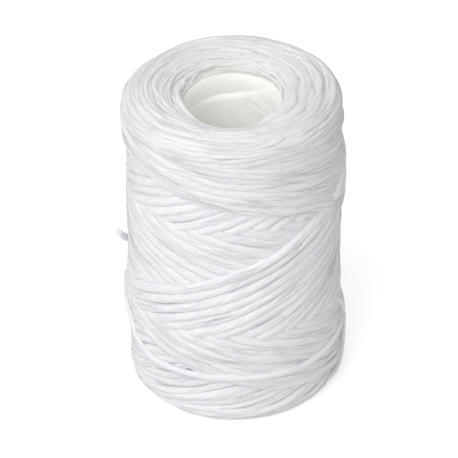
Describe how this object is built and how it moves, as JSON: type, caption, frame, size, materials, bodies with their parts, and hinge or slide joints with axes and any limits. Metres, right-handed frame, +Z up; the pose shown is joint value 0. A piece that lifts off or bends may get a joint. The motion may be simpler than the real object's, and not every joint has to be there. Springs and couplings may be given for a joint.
{
  "type": "roll of twine",
  "caption": "Coreless cross-wound roll of white polypropylene twine that stands on end, with an open bore and its cut end standing off the side.",
  "frame": {"origin": "on the roll's axis, in the plane that the roll stands on", "axes": "+Z up along the axis of the roll and its bore; -Y is the front, and the cut end stands off the side at -X"},
  "size_m": [0.0766, 0.075, 0.112],
  "materials": {
    "twine": "silky fibrous polypropylene",
    "bore_twine": "silky fibrous polypropylene, creamier inside the bore"
  },
  "bodies": {
    "root": {"bore_lay": "bore_twine", "inner_lay_2": "twine", "inner_lay_3": "twine", "inner_lay_4": "twine", "inner_lay_5": "twine", "inner_lay_6": "twine", "inner_lay_7": "twine", "inner_lay_8": "twine", "inner_lay_9": "twine", "bottom_rising_runs": "twine", "bottom_falling_runs": "twine", "middle_rising_runs": "twine", "middle_falling_runs": "twine", "top_rising_runs": "twine", "top_falling_runs": "twine", "slack_run": "twine", "last_run_and_cut_end": "twine"}
  },
  "joints": []
}
